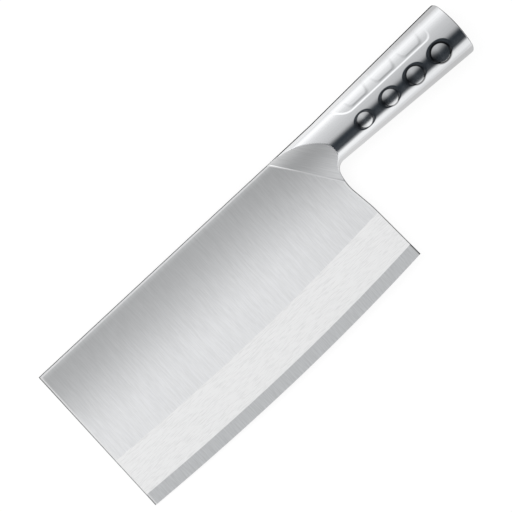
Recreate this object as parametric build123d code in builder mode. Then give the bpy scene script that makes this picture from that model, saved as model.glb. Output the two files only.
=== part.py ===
from build123d import *
import os
from math import asin, atan2, cos, degrees, radians, sin, tan

# Chinese cleaver with a hollow, welded steel handle, lying on its side.
# Places are given from the knife: x from the tip towards the butt, y up from the spine line,
# so the blade lies at minus y, and heights from the middle plane of the blade.
# The part's own origin lies under the middle of its box, on the surface that it lies on.

# Blade plate
blade_length = 220.2
blade_depth = 106.9
blade_thickness = 2.5
tip_rake = 0.8
spine_chamfer = 0.3

# Edge: two wide arcs that meet at the lowest point of the belly
belly_from_tip = 99.0
toe_edge_radius = 1885.0
heel_edge_radius = 1494.0
band_width = 36.0
band_thickness = 0.8
bevel_width = 8.2
edge_thickness = 0.2

# Heel: the finger hollow behind the blade and the choil under the neck
choil_radius = 6.8
choil_corner_inset = 1.1
hollow_inset = 4.2
hollow_drop = 41.3
hollow_radius = 30.0
heel_bend_inset = 1.65
heel_bend_drop = 61.5
heel_bend_radius = 70.0

# Handle, an oval of four tangent arcs that grows from the neck to the butt
neck_height = 29.2
neck_thickness = 18.0
neck_end_radius = 8.0
butt_height = 37.3
butt_thickness = 25.0
butt_end_radius = 11.0
butt_rise = 3.1
handle_length = 105.6
butt_edge_reach = 6.0
butt_dome_radius = 84.0
butt_rim_radius = 3.0

# Neck: the slanting joint with the blade and the sloping crescent
slant_start_inset = 31.2
slant_angle = 54.7
ramp_angle = 22.3
blade_weld_width = 3.0
tang_thickness = 2.0
tang_length = 12.0
tang_top = 5.0
tang_bottom = 27.0
tang_clearance = 0.1

# Hollow handle: shells, spigot, cap and weld beads
shell_wall = 1.5
neck_joint_reach = 3.6
cap_joint_reach = 9.0
spigot_length = 5.0
lip_length = 4.0
lip_wall = 1.2
fit_clearance = 0.1
bead_width = 1.6
bead_depth = 0.8
cap_floor_thickness = 3.5

# Sunk panel on the spine side of each shell, with three raised pads
panel_start = 20.0
panel_end = 89.1
panel_drop = 11.4
panel_lean = 45.0
panel_sink = 0.7
panel_fade = 0.3
panel_start_radius = 11.0
panel_end_radius = 4.8
pad_count = 3
pad_start = 24.2
pad_length = 14.0
pad_pitch = 21.7
pad_drop = 8.9
pad_start_lean = 12.0
pad_end_lean = 9.0
pad_start_radius = 1.5
pad_end_radius = 3.0

# Domes on the finger side of each shell, each in a shallow dish
dome_count = 4
dome_start = 25.0
dome_pitch = 20.0
dome_offset = 5.65
first_dome_radius = 5.3
last_dome_radius = 6.65
dome_height = 1.27
dish_margin = 0.12
dish_angle = 10.0
dome_trim = 0.3
dome_blank_share = 0.97

# Reach of every cutting shape past what it cuts
overrun = 2.0

# Worked out from the sizes above
choil_corner_x = blade_length - choil_corner_inset
hollow_x = blade_length - hollow_inset
choil_lean = degrees(atan2(choil_corner_x - hollow_x, hollow_drop - neck_height))
choil_turn = 90 - choil_lean
neck_x = choil_corner_x + choil_radius * tan(radians(choil_turn / 2))
choil_y = -neck_height - choil_radius
overall_length = neck_x + handle_length
butt_x = overall_length - butt_edge_reach
butt_y = butt_rise - butt_height / 2
neck_y = -neck_height / 2
neck_joint_x = neck_x + neck_joint_reach
cap_joint_x = overall_length - cap_joint_reach
slant_x = blade_length - slant_start_inset

origin_x = -overall_length / 2
origin_y = (blade_depth - butt_rise) / 2
origin_z = butt_thickness / 2


def level(height=0):
    """Plan view plane at a height over the middle plane of the blade."""
    return Plane(origin=(origin_x, origin_y, origin_z + height))


def station(x, y=0):
    """Cross section plane at x, with its own x along +Y and its own y up."""
    centre = (origin_x + x, origin_y + y, origin_z)
    return Plane(origin=centre, x_dir=(0, 1, 0), z_dir=(1, 0, 0))


def oval_side_radius(height, thickness, end_radius):
    """Radius of the two flat arcs of an oval, so that they run tangent into its end arcs."""
    half_height, half_thickness = height / 2, thickness / 2
    rise = (half_height - end_radius) ** 2 + half_thickness**2 - end_radius**2
    return rise / (2 * (half_thickness - end_radius))


def oval(height, thickness, end_radius):
    """Oval of four tangent arcs, with its height along x."""
    half_height, half_thickness = height / 2, thickness / 2
    side_radius = oval_side_radius(height, thickness, end_radius)
    end_centre = half_height - end_radius
    turn = atan2(side_radius - half_thickness, end_centre)
    across = end_centre + end_radius * cos(turn)
    up = end_radius * sin(turn)
    with BuildSketch() as face:
        with BuildLine():
            ThreePointArc((-across, up), (0, half_thickness), (across, up))
            ThreePointArc((across, up), (half_height, 0), (across, -up))
            ThreePointArc((across, -up), (0, -half_thickness), (-across, -up))
            ThreePointArc((-across, -up), (-half_height, 0), (-across, up))
        make_face()
    return face.sketch


def handle_form(inset, sink=0, fade=0):
    """Tapering oval body from neck to butt, inside the handle's skin by the inset."""
    lower, thin = inset - fade, inset + sink
    with BuildPart() as form:
        with BuildSketch(station(neck_x, neck_y)):
            add(oval(neck_height - 2 * lower, neck_thickness - 2 * thin, neck_end_radius - thin))
        with BuildSketch(station(butt_x, butt_y)):
            add(oval(butt_height - 2 * lower, butt_thickness - 2 * thin, butt_end_radius - thin))
        loft(ruled=True)
    return form.part


def slab(start, end):
    """Block across the whole knife between two stations, to keep or cut that length of it."""
    with BuildPart() as block:
        with BuildSketch(station(start)):
            Rectangle(2 * (blade_depth + overrun), 2 * butt_thickness)
        extrude(amount=end - start)
    return block.part


def knife_outline():
    """Plan outline of blade and neck, run past the edge, which the edge arcs cut back."""
    heel_slope = heel_bend_inset / (blade_depth - heel_bend_drop)
    tip_slope = tip_rake / blade_depth
    below = blade_depth + overrun
    with BuildSketch() as outline:
        with BuildLine():
            FilletPolyline(
                (tip_rake, 0),
                (neck_x + overrun, 0),
                (neck_x + overrun, -neck_height),
                (choil_corner_x, -neck_height),
                (hollow_x, -hollow_drop),
                (blade_length - heel_bend_inset, -heel_bend_drop),
                (blade_length + heel_slope * overrun, -below),
                (-tip_slope * overrun, -below),
                radius=(0, 0, 0, choil_radius, hollow_radius, heel_bend_radius, 0, 0),
                close=True,
            )
        make_face()
    return outline.sketch


def slant_level(height=0):
    """Plan plane whose x runs square to the slanting joint of blade and neck, towards the butt."""
    turn = radians(slant_angle)
    start = (origin_x + slant_x, origin_y, origin_z + height)
    return Plane(origin=start, x_dir=(sin(turn), cos(turn), 0))


def tang_outline(clearance=0):
    """Plan outline of the stub tang, whose end runs along the slanting joint."""
    lean = 1 / tan(radians(slant_angle))
    top = tang_top - clearance
    bottom = tang_bottom + clearance
    with BuildSketch() as outline:
        with BuildLine():
            Polyline(
                (slant_x + lean * top - overrun, -top),
                (slant_x + lean * top + tang_length + clearance, -top),
                (slant_x + lean * bottom + tang_length + clearance, -bottom),
                (slant_x + lean * bottom - overrun, -bottom),
                close=True,
            )
        make_face()
    return outline.sketch


def choil_plane(turn):
    """Cross section plane of the neck's end, swung round the choil's axis by an angle."""
    angle = radians(turn)
    reach = choil_radius + neck_height / 2
    centre = (
        origin_x + neck_x - reach * sin(angle),
        origin_y + choil_y + reach * cos(angle),
        origin_z,
    )
    return Plane(origin=centre, x_dir=(-sin(angle), cos(angle), 0), z_dir=(cos(angle), sin(angle), 0))


def neck_leftover(side):
    """What an oval neck leaves of a square blank, on the spine side (1) or finger side (-1)."""
    reach = neck_height / 2 + overrun
    with BuildSketch() as leftover:
        with Locations((side * reach / 2, 0)):
            Rectangle(reach, neck_thickness + 2 * overrun)
        add(oval(neck_height, neck_thickness, neck_end_radius), mode=Mode.SUBTRACT)
    return leftover.sketch


def panel_recess(inset):
    """What the sunk panel takes off the handle's skin, or off its inner skin at the inset."""
    top = butt_rise + overrun
    start, end = neck_x + panel_start, neck_x + panel_end
    with BuildPart() as recess:
        with BuildSketch(level()):
            with BuildLine():
                FilletPolyline(
                    (start - (top + panel_drop) / tan(radians(panel_lean)), top),
                    (start, -panel_drop),
                    (end, -panel_drop),
                    (end, top),
                    radius=(0, panel_start_radius, panel_end_radius, 0),
                    close=True,
                )
            make_face()
            for index in range(pad_count):
                left = neck_x + pad_start + index * pad_pitch
                right = left + pad_length
                rise = top + overrun + pad_drop
                with BuildLine():
                    FilletPolyline(
                        (left - rise * tan(radians(pad_start_lean)), rise - pad_drop),
                        (left, -pad_drop),
                        (right, -pad_drop),
                        (right + rise * tan(radians(pad_end_lean)), rise - pad_drop),
                        radius=(0, pad_start_radius, pad_end_radius, 0),
                        close=True,
                    )
                make_face(mode=Mode.SUBTRACT)
        extrude(amount=butt_thickness)
        add(handle_form(inset, panel_sink, panel_fade), mode=Mode.SUBTRACT)
    return recess.part


def dome_place(index, inset=0):
    """Plane that touches the handle's skin at a dome, its ring's radius and the ring's depth."""
    along = dome_start + index * dome_pitch
    share = along / (butt_x - neck_x)
    height = neck_height + share * (butt_height - neck_height)
    thickness = neck_thickness + share * (butt_thickness - neck_thickness)
    end_radius = neck_end_radius + share * (butt_end_radius - neck_end_radius)
    side_radius = oval_side_radius(height, thickness, end_radius)
    tilt = asin(dome_offset / side_radius)
    centre = (
        origin_x + neck_x + along,
        origin_y + neck_y + share * (butt_y - neck_y) - dome_offset,
        origin_z + thickness / 2 - side_radius * (1 - cos(tilt)),
    )
    taper = degrees(atan2((butt_thickness - neck_thickness) / 2, butt_x - neck_x))
    touching = Plane(origin=centre, x_dir=(1, 0, 0), z_dir=(0, -sin(tilt), cos(tilt)))
    ring = first_dome_radius + index * (last_dome_radius - first_dome_radius) / (dome_count - 1)
    depth = ring**2 / (2 * side_radius) + dish_margin
    return touching.rotated((0, -taper, 0)).offset(-inset), ring, depth


def dome_section(index, inset=0):
    """Upright plane through a dome's axis, with its x along the handle."""
    place = dome_place(index, inset)[0]
    return Plane(origin=place.origin, x_dir=place.x_dir, z_dir=-place.y_dir)


def dome_revolved(index, inset, rest):
    """A dome's round cap joined to the rest of a profile, and turned about the dome's axis."""
    place, ring, depth = dome_place(index, inset)
    cap_radius = (ring**2 + dome_height**2) / (2 * dome_height)
    cap_angle = degrees(asin(ring / cap_radius))
    cap_centre = (0, dome_height - depth - cap_radius)
    with BuildPart() as turned:
        with BuildSketch(dome_section(index, inset)):
            with BuildLine():
                CenterArc(cap_centre, cap_radius, 90 - cap_angle, cap_angle)
                Polyline((0, dome_height - depth), *rest, (ring, -depth))
            make_face()
        revolve(axis=Axis(place.origin, place.z_dir))
    return turned.part


def dome_blank(index):
    """Round boss that a dome is cut from."""
    place, ring, depth = dome_place(index)
    with BuildPart() as blank:
        with BuildSketch(place.offset(-shell_wall)):
            Circle(dome_blank_share * ring)
        extrude(amount=shell_wall + dome_height - depth + dome_trim / 2)
    return blank.part


def dome_dish(index):
    """What is cut away over a dome and over the dish that it stands in."""
    ring, depth = dome_place(index)[1:]
    top = dome_height - depth + dome_trim
    reach = ring + (top + depth) / tan(radians(dish_angle))
    return dome_revolved(index, 0, ((0, top), (reach, top)))


def dome_inside(index):
    """The hollow under a dome, one wall inside its skin."""
    ring, depth = dome_place(index)[1:]
    base = -depth - shell_wall
    return dome_revolved(index, shell_wall, ((0, base), (ring, base)))


def behind_joint(height):
    """Everything on the butt's side of the slanting joint, to a height on both sides."""
    with BuildPart() as block:
        with BuildSketch(slant_level(-height)):
            with Locations((blade_depth, 0)):
                Rectangle(2 * blade_depth, 4 * blade_depth)
        extrude(amount=2 * height)
    return block.part


def weld_strip(side):
    """Strip over the slanting joint, from the tang's face outwards, on one side of the blade."""
    with BuildPart() as strip:
        with BuildSketch(slant_level(side * tang_thickness / 2)):
            with Locations((blade_weld_width / 2, 0)):
                Rectangle(blade_weld_width, 4 * blade_depth)
        extrude(amount=side * neck_thickness)
    return strip.part


def ramps():
    """What the two sloping faces of the crescent take off the neck."""
    top = neck_thickness / 2 + overrun
    slope = tan(radians(ramp_angle))
    joint = slant_level()
    with BuildPart() as cut:
        with BuildSketch(Plane(origin=joint.origin, x_dir=joint.x_dir, z_dir=-joint.y_dir)):
            with BuildLine():
                Polyline(
                    (-overrun, blade_thickness / 2 - overrun * slope),
                    ((top - blade_thickness / 2) / slope, top),
                    (-overrun, top),
                    close=True,
                )
            make_face()
        extrude(amount=blade_depth, both=True)
        mirror(about=level())
    return cut.part


def seam_strip(side):
    """Strip over the seam of the two shells, on the spine side (1) or the finger side (-1)."""
    start = neck_joint_x + bead_width / 2
    with BuildPart() as strip:
        with BuildSketch(station(start, butt_y)):
            with Locations((side * butt_height / 2, 0)):
                Rectangle(butt_height, bead_width)
        extrude(amount=cap_joint_x - bead_width / 2 - start)
    return strip.part


# Blade: a plate whose ground band and bevel follow the two edge arcs, with its stub tang
with BuildPart() as blade:
    toe_arc = (-1, toe_edge_radius, belly_from_tip)
    heel_arc = (1, heel_edge_radius, blade_length - belly_from_tip)
    for side, edge_radius, reach in (toe_arc, heel_arc):
        with BuildSketch(station(belly_from_tip, -blade_depth)):
            with BuildLine():
                Polyline(
                    (0, edge_thickness / 2),
                    (bevel_width, band_thickness / 2),
                    (band_width, blade_thickness / 2),
                    (blade_depth + overrun, blade_thickness / 2),
                    (blade_depth + overrun, -blade_thickness / 2),
                    (band_width, -blade_thickness / 2),
                    (bevel_width, -band_thickness / 2),
                    (0, -edge_thickness / 2),
                    close=True,
                )
            make_face()
        arc_centre = (origin_x + belly_from_tip, origin_y - blade_depth + edge_radius, origin_z)
        swing = degrees(asin((reach + overrun) / (edge_radius - blade_depth - overrun)))
        revolve(axis=Axis(arc_centre, (0, 0, side)), revolution_arc=swing)
    with BuildSketch(level(-blade_thickness)):
        add(knife_outline())
    extrude(amount=2 * blade_thickness, mode=Mode.INTERSECT)
    add(behind_joint(blade_thickness), mode=Mode.SUBTRACT)
    chamfer(blade.edges().filter_by(Axis.X).group_by(Axis.Y)[-1], spine_chamfer)
    with BuildSketch(level(-tang_thickness / 2)):
        add(tang_outline())
    extrude(amount=tang_thickness)
blade.part.label = "blade"

# Neck with its welds still on: oval at its end, flared round the choil, cut by the two ramps
with BuildPart() as neck_body:
    with BuildSketch(level(-neck_thickness / 2)):
        add(knife_outline())
    extrude(amount=neck_thickness)
    add(behind_joint(neck_thickness), mode=Mode.INTERSECT)
    add(slab(slant_x - overrun, neck_x), mode=Mode.INTERSECT)
    with BuildSketch(station(neck_x, neck_y)):
        add(neck_leftover(1))
    extrude(amount=-slant_start_inset - choil_radius, mode=Mode.SUBTRACT)
    with BuildSketch(choil_plane(0)):
        add(neck_leftover(-1))
    choil_axis = Axis((origin_x + neck_x, origin_y + choil_y, origin_z), (0, 0, 1))
    revolve(axis=choil_axis, revolution_arc=choil_turn, mode=Mode.SUBTRACT)
    with BuildSketch(choil_plane(choil_turn)):
        add(neck_leftover(-1))
    extrude(amount=neck_height - hollow_drop, mode=Mode.SUBTRACT)
    add(ramps(), mode=Mode.SUBTRACT)

with BuildPart() as neck_end:
    add(handle_form(0))
    add(slab(neck_x, neck_joint_x), mode=Mode.INTERSECT)

with BuildPart() as spigot:
    add(handle_form(shell_wall + fit_clearance))
    add(slab(neck_x, neck_joint_x + spigot_length), mode=Mode.INTERSECT)

# Weld runs over the slanting joint, one on each face of the blade
with BuildPart() as blade_weld_front:
    add(neck_body.part)
    add(weld_strip(1), mode=Mode.INTERSECT)
blade_weld_front.part.label = "blade_weld_front"

with BuildPart() as blade_weld_back:
    add(neck_body.part)
    add(weld_strip(-1), mode=Mode.INTERSECT)
blade_weld_back.part.label = "blade_weld_back"

# Weld rings and seams, flush with the handle's skin
with BuildPart() as neck_weld:
    add(handle_form(0))
    add(handle_form(bead_depth), mode=Mode.SUBTRACT)
    add(slab(neck_joint_x - bead_width / 2, neck_joint_x + bead_width / 2), mode=Mode.INTERSECT)
neck_weld.part.label = "neck_weld"

with BuildPart() as cap_weld:
    add(handle_form(0))
    add(handle_form(bead_depth), mode=Mode.SUBTRACT)
    add(slab(cap_joint_x - bead_width / 2, cap_joint_x + bead_width / 2), mode=Mode.INTERSECT)
cap_weld.part.label = "cap_weld"

with BuildPart() as seam_weld_spine:
    add(handle_form(0))
    add(handle_form(bead_depth), mode=Mode.SUBTRACT)
    add(seam_strip(1), mode=Mode.INTERSECT)
seam_weld_spine.part.label = "seam_weld_spine"

with BuildPart() as seam_weld_belly:
    add(handle_form(0))
    add(handle_form(bead_depth), mode=Mode.SUBTRACT)
    add(seam_strip(-1), mode=Mode.INTERSECT)
seam_weld_belly.part.label = "seam_weld_belly"

# Bolster: the solid neck with the tang's pocket in front and the spigot behind
with BuildPart() as bolster:
    add(neck_body.part)
    add(neck_end.part)
    add(spigot.part)
    for side in (1, -1):
        add(weld_strip(side), mode=Mode.SUBTRACT)
    with BuildSketch(level(-tang_thickness / 2)):
        add(tang_outline(tang_clearance))
    extrude(amount=tang_thickness, mode=Mode.SUBTRACT)
    add(neck_weld.part, mode=Mode.SUBTRACT)
bolster.part.label = "bolster"

# Skins of the pressed handle, outside and inside
with BuildPart() as outer_skin:
    add(handle_form(0))
    add(panel_recess(0), mode=Mode.SUBTRACT)
    for index in range(dome_count):
        add(dome_blank(index))
    for index in range(dome_count):
        add(dome_dish(index), mode=Mode.SUBTRACT)

with BuildPart() as inner_skin:
    add(handle_form(shell_wall))
    add(panel_recess(shell_wall), mode=Mode.SUBTRACT)
    for index in range(dome_count):
        add(dome_inside(index))

# Front shell, on the photographed side, and the same shell mirrored for the back
with BuildPart() as handle_shell_front:
    add(outer_skin.part)
    add(inner_skin.part, mode=Mode.SUBTRACT)
    add(slab(neck_joint_x, cap_joint_x), mode=Mode.INTERSECT)
    split(bisect_by=level(), keep=Keep.TOP)
    for weld in (neck_weld, cap_weld, seam_weld_spine, seam_weld_belly):
        add(weld.part, mode=Mode.SUBTRACT)
handle_shell_front.part.label = "handle_shell_front"

with BuildPart() as handle_shell_back:
    mirror(handle_shell_front.part, about=level())
handle_shell_back.part.label = "handle_shell_back"

# Butt cap: domed, with a rounded rim, a pocket, and a lip that centres it in the shells
pocket = shell_wall + fit_clearance + lip_wall
with BuildPart() as cap_body:
    add(handle_form(0))
    add(slab(cap_joint_x, butt_x), mode=Mode.INTERSECT)
    with BuildSketch(station(butt_x, butt_y)):
        add(oval(butt_height, butt_thickness, butt_end_radius))
    extrude(amount=butt_edge_reach + overrun)
    dome_centre = (origin_x + overall_length - butt_dome_radius, origin_y + butt_y, origin_z)
    with Locations(dome_centre):
        Sphere(butt_dome_radius, mode=Mode.INTERSECT)
    fillet(cap_body.faces().sort_by(Axis.X)[-1].edges(), butt_rim_radius)
    with BuildSketch(station(butt_x, butt_y)):
        add(oval(butt_height - 2 * pocket, butt_thickness - 2 * pocket, butt_end_radius - pocket))
    extrude(amount=butt_edge_reach - cap_floor_thickness, mode=Mode.SUBTRACT)
    add(handle_form(pocket), mode=Mode.SUBTRACT)
    add(cap_weld.part, mode=Mode.SUBTRACT)

with BuildPart() as cap_lip:
    add(handle_form(shell_wall + fit_clearance))
    add(handle_form(pocket), mode=Mode.SUBTRACT)
    add(slab(cap_joint_x - lip_length, cap_joint_x), mode=Mode.INTERSECT)

with BuildPart() as butt_cap:
    add(cap_body.part)
    add(cap_lip.part)
butt_cap.part.label = "butt_cap"

os.makedirs("parts", exist_ok=True)
export_step(blade.part, "parts/blade.step")
export_step(bolster.part, "parts/bolster.step")
export_step(handle_shell_front.part, "parts/handle_shell_front.step")
export_step(handle_shell_back.part, "parts/handle_shell_back.step")
export_step(butt_cap.part, "parts/butt_cap.step")
export_step(blade_weld_front.part, "parts/blade_weld_front.step")
export_step(blade_weld_back.part, "parts/blade_weld_back.step")
export_step(neck_weld.part, "parts/neck_weld.step")
export_step(cap_weld.part, "parts/cap_weld.step")
export_step(seam_weld_spine.part, "parts/seam_weld_spine.step")
export_step(seam_weld_belly.part, "parts/seam_weld_belly.step")
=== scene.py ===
"""Looks of a Chinese cleaver: brushed blade, ground neck and polished hollow handle, with its studio."""

from math import atan2, cos, pi, radians, sin, sqrt, tan

import bmesh
import bpy
import numpy as np
from bpy.props import FloatProperty, FloatVectorProperty, IntProperty, PointerProperty
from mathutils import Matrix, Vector
from mathutils.bvhtree import BVHTree


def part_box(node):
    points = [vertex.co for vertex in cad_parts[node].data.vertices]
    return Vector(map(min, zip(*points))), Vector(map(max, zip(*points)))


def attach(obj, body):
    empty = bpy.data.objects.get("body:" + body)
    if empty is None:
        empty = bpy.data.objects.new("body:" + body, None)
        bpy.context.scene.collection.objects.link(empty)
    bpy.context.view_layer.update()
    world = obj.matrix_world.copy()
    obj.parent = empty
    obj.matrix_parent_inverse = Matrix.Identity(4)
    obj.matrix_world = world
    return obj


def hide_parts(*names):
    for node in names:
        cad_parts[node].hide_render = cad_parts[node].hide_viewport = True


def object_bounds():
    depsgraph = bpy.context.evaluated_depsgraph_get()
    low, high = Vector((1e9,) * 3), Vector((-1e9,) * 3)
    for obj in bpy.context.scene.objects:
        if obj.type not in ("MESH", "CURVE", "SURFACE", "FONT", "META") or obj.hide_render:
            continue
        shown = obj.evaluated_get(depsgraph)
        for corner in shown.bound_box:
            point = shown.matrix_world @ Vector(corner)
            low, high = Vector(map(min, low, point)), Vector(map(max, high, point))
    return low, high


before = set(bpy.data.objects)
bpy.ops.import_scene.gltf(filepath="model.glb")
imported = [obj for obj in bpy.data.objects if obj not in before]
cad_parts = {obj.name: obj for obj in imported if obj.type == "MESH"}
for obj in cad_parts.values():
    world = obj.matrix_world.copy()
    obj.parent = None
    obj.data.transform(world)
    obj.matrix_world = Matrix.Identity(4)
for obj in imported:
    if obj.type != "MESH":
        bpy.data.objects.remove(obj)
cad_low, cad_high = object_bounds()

bl_info = {
    "name": "Chinese cleaver",
    "version": (1, 0, 0),
    "blender": (4, 5, 0),
    "location": "View3D > Sidebar > Cleaver",
    "description": "Builds the finished surfaces of a one-piece steel cleaver and its studio",
    "category": "Add Mesh",
}

MM = 0.001
BODY = "root"
WHITE = (1.0, 1.0, 1.0)

blade_low, blade_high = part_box("blade")
cap_low, cap_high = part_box("butt_cap")
blade_face = (blade_high.z - blade_low.z) / 2

# Points along a quarter of the handle's oval: on its end arc and on its flat arc
END_STEPS = 48
FLAT_STEPS = 42
QUARTER = END_STEPS + FLAT_STEPS
HALF = 2 * QUARTER
LOOP = 2 * HALF

# The hidden back of a shell or seam has one point for this many of its front
BACK_STEP = 5

# Points from line to line of the blade: on each part of the flat, the band, the bevel, and lengthwise
FACE_POINTS = 22
BAND_POINTS = 24
BEVEL_POINTS = 9
LONG_POINTS = 90

# Lines in the neck's fan, and points on each part of the outline under it
FAN_LINES = 110
PATH_POINTS = 400

# How many times the tongue's inset the blade welds stop short at both ends
WELD_TRIM = 1.3


def length(description, size):
    """A length, given in millimetres."""
    return FloatProperty, dict(description=description, default=size * MM, unit="LENGTH", precision=5)


def turn(description, size):
    """An angle, given in degrees."""
    return FloatProperty, dict(description=description, default=radians(size), unit="ROTATION")


def share(description, size):
    """A share from nothing to all of something."""
    return FloatProperty, dict(description=description, default=size, min=0, max=1, subtype="FACTOR")


def number(description, size):
    """A plain number, such as a strength."""
    return FloatProperty, dict(description=description, default=size)


def count(description, size):
    """A number of things."""
    return IntProperty, dict(description=description, default=size, min=2)


def colour(description, *shade):
    """A colour as red, green and blue."""
    return FloatVectorProperty, dict(description=description, default=shade, min=0, max=1, subtype="COLOR")


def named(group):
    """Makes a group's entries into properties, each with its own name in plain words."""
    for key, (kind, options) in group.__annotations__.items():
        group.__annotations__[key] = kind(name=key.replace("_", " ").capitalize(), **options)
    return group


@named
class BladeSizes(bpy.types.PropertyGroup):
    """Sizes of the blade."""

    length: length("From the tip to the heel at the edge", 220.2)
    depth: length("From the spine to the lowest point of the edge", 106.9)
    tip_rake: length("How far the tip leans back at the spine", 0.8)
    belly_from_tip: length("From the tip to the lowest point of the edge", 99)
    toe_edge_radius: length("Radius of the edge in front of that point", 1885)
    heel_edge_radius: length("Radius of the edge behind it", 1494)
    band_width: length("From the edge to the top of the ground band", 36)
    band_thickness: length("Thickness where band and bevel meet", 0.8)
    bevel_width: length("From the edge to the band", 8.4)
    edge_thickness: length("Thickness left at the edge", 0.2)
    rim_width: length("Plan width of the chamfer round the blade", 0.42)
    rim_drop: length("How far that chamfer drops", 1.05)
    round_width: length("Plan width of the rounding inside it", 0.5)
    round_drop: length("How far that rounding drops", 0.13)


@named
class NeckSizes(bpy.types.PropertyGroup):
    """Sizes of the neck, its choil, its crescents and its welds."""

    choil_radius: length("Radius of the hollow under the neck", 6.8)
    choil_corner_inset: length("From the heel to the choil's corner", 1.1)
    hollow_inset: length("From the heel to the finger hollow's deepest point", 4.2)
    hollow_drop: length("From the spine down to that point", 41.3)
    hollow_radius: length("Radius of the finger hollow", 30)
    heel_bend_inset: length("From the heel to the bend over it", 1.65)
    heel_bend_drop: length("From the spine down to that bend", 61.5)
    heel_bend_radius: length("Radius of that bend", 70)
    slant_start_inset: length("From the heel to the joint's start at the spine", 31.2)
    slant_angle: turn("Between the spine and the joint with the blade", 54.7)
    ramp_angle: turn("Slope of the ground crescents", 22.3)
    ridge_softness: length("Height over which a crescent's edge is rounded", 0.3)
    tongue_thickness: length("Thickness between the two blade welds", 2)
    # Painted dark reflection along the neck's outline
    outline_width: length("Reach of the neck's darker outline", 0.7)
    weld_width: length("Width of the blade welds", 3)
    weld_fillet: length("Reach of their fillet each side of the joint", 0.8)
    weld_sink: length("How far they sink into the tongue", 0.05)
    weld_least: length("Their least thickness", 0.01)
    # A painted highlight along the fillet, which turns to painted shade past its end
    line_width: length("Reach of the bright line along the fillet", 0.5)
    line_start: share("Part of the joint along which that line fades in", 0.05)
    line_end: share("Part of the joint after which it is darker than the steel", 0.68)


@named
class HandleSizes(bpy.types.PropertyGroup):
    """Sizes of the hollow handle."""

    length: length("From the neck to the end of the butt", 105.6)
    neck_height: length("Oval's height at the neck", 29.2)
    neck_thickness: length("Oval's thickness at the neck", 18)
    neck_end_radius: length("Radius of the oval's ends at the neck", 7.75)
    butt_height: length("Oval's height at the butt", (cap_high.y - cap_low.y) / MM)
    butt_thickness: length("Oval's thickness at the butt", (cap_high.z - cap_low.z) / MM)
    butt_end_radius: length("Radius of the oval's ends at the butt", 11)
    butt_rise: length("How far the butt rises over the spine", 3.1)
    butt_reach: length("From the last full oval to the end", 6)
    butt_dome_radius: length("Radius of the domed end from spine to finger side", 84)
    butt_cross_radius: length("Radius of the domed end from face to face", 55)
    butt_corner_width: length("How far in the end's two corners are rounded", 4.3)
    butt_corner_reach: length("How far these corners fall back", 2.8)
    butt_rim_width: length("Reach of the butt's rounded rim", 0.5)
    butt_rim_drop: length("How far that rim falls towards the end", 0.7)
    # Painted shade on the butt's rounded rim, for a dark line along its end
    butt_rim_shade: share("How much darker that rim is", 0.25)
    neck_joint_reach: length("From the neck to the weld ring before the shells", 3.6)
    cap_joint_reach: length("From the cap's weld ring to the end", 9)
    wall: length("Thickness of the shells", 1.5)
    bead_width: length("Width of the weld rings and seams", 1.6)
    bead_depth: length("Depth of the weld rings and seams", 0.8)
    grid_step: length("Spacing of the shells' points along the handle", 0.2)


@named
class PanelSizes(bpy.types.PropertyGroup):
    """Sizes of the sunk thumb panel and its pads, from the neck and the spine."""

    start: length("Where the lower edge starts", 20)
    end: length("Where the panel ends", 89.1)
    drop: length("Depth of the lower edge under the spine", 11.4)
    lean: turn("Between the slanting start and the spine", 45)
    sink: length("How deep the panel is pressed at the handle's crown", 0.37)
    fade: length("How far the sunk face rises at the spine", 0.2)
    start_fade: length("How much more it rises there beside the start", 0.3)
    step_width: length("Width of the panel's wall", 1.5)
    start_softness: length("Rounding of the corner at the start", 3.2)
    end_softness: length("Rounding of the corner at the end", 4.8)
    pad_count: count("Number of raised pads", 3)
    pad_start: length("Where the first pad starts", 24.2)
    pad_length: length("Length of a pad at its lower edge", 14)
    pad_pitch: length("From one pad to the next", 21.7)
    pad_drop: length("Depth of the pads' lower edge under the spine", 8.9)
    pad_start_lean: turn("Lean of a pad's edge on the neck's side", 12)
    pad_end_lean: turn("Lean of a pad's edge on the butt's side", 9)
    pad_softness: length("Rounding of the pads' corners", 2.2)
    pad_step_width: length("Width of the pads' walls", 1.65)
    # Painted shade on the pads' walls
    pad_shade: share("How much darker those walls are on the butt's side", 0.2)


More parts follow.
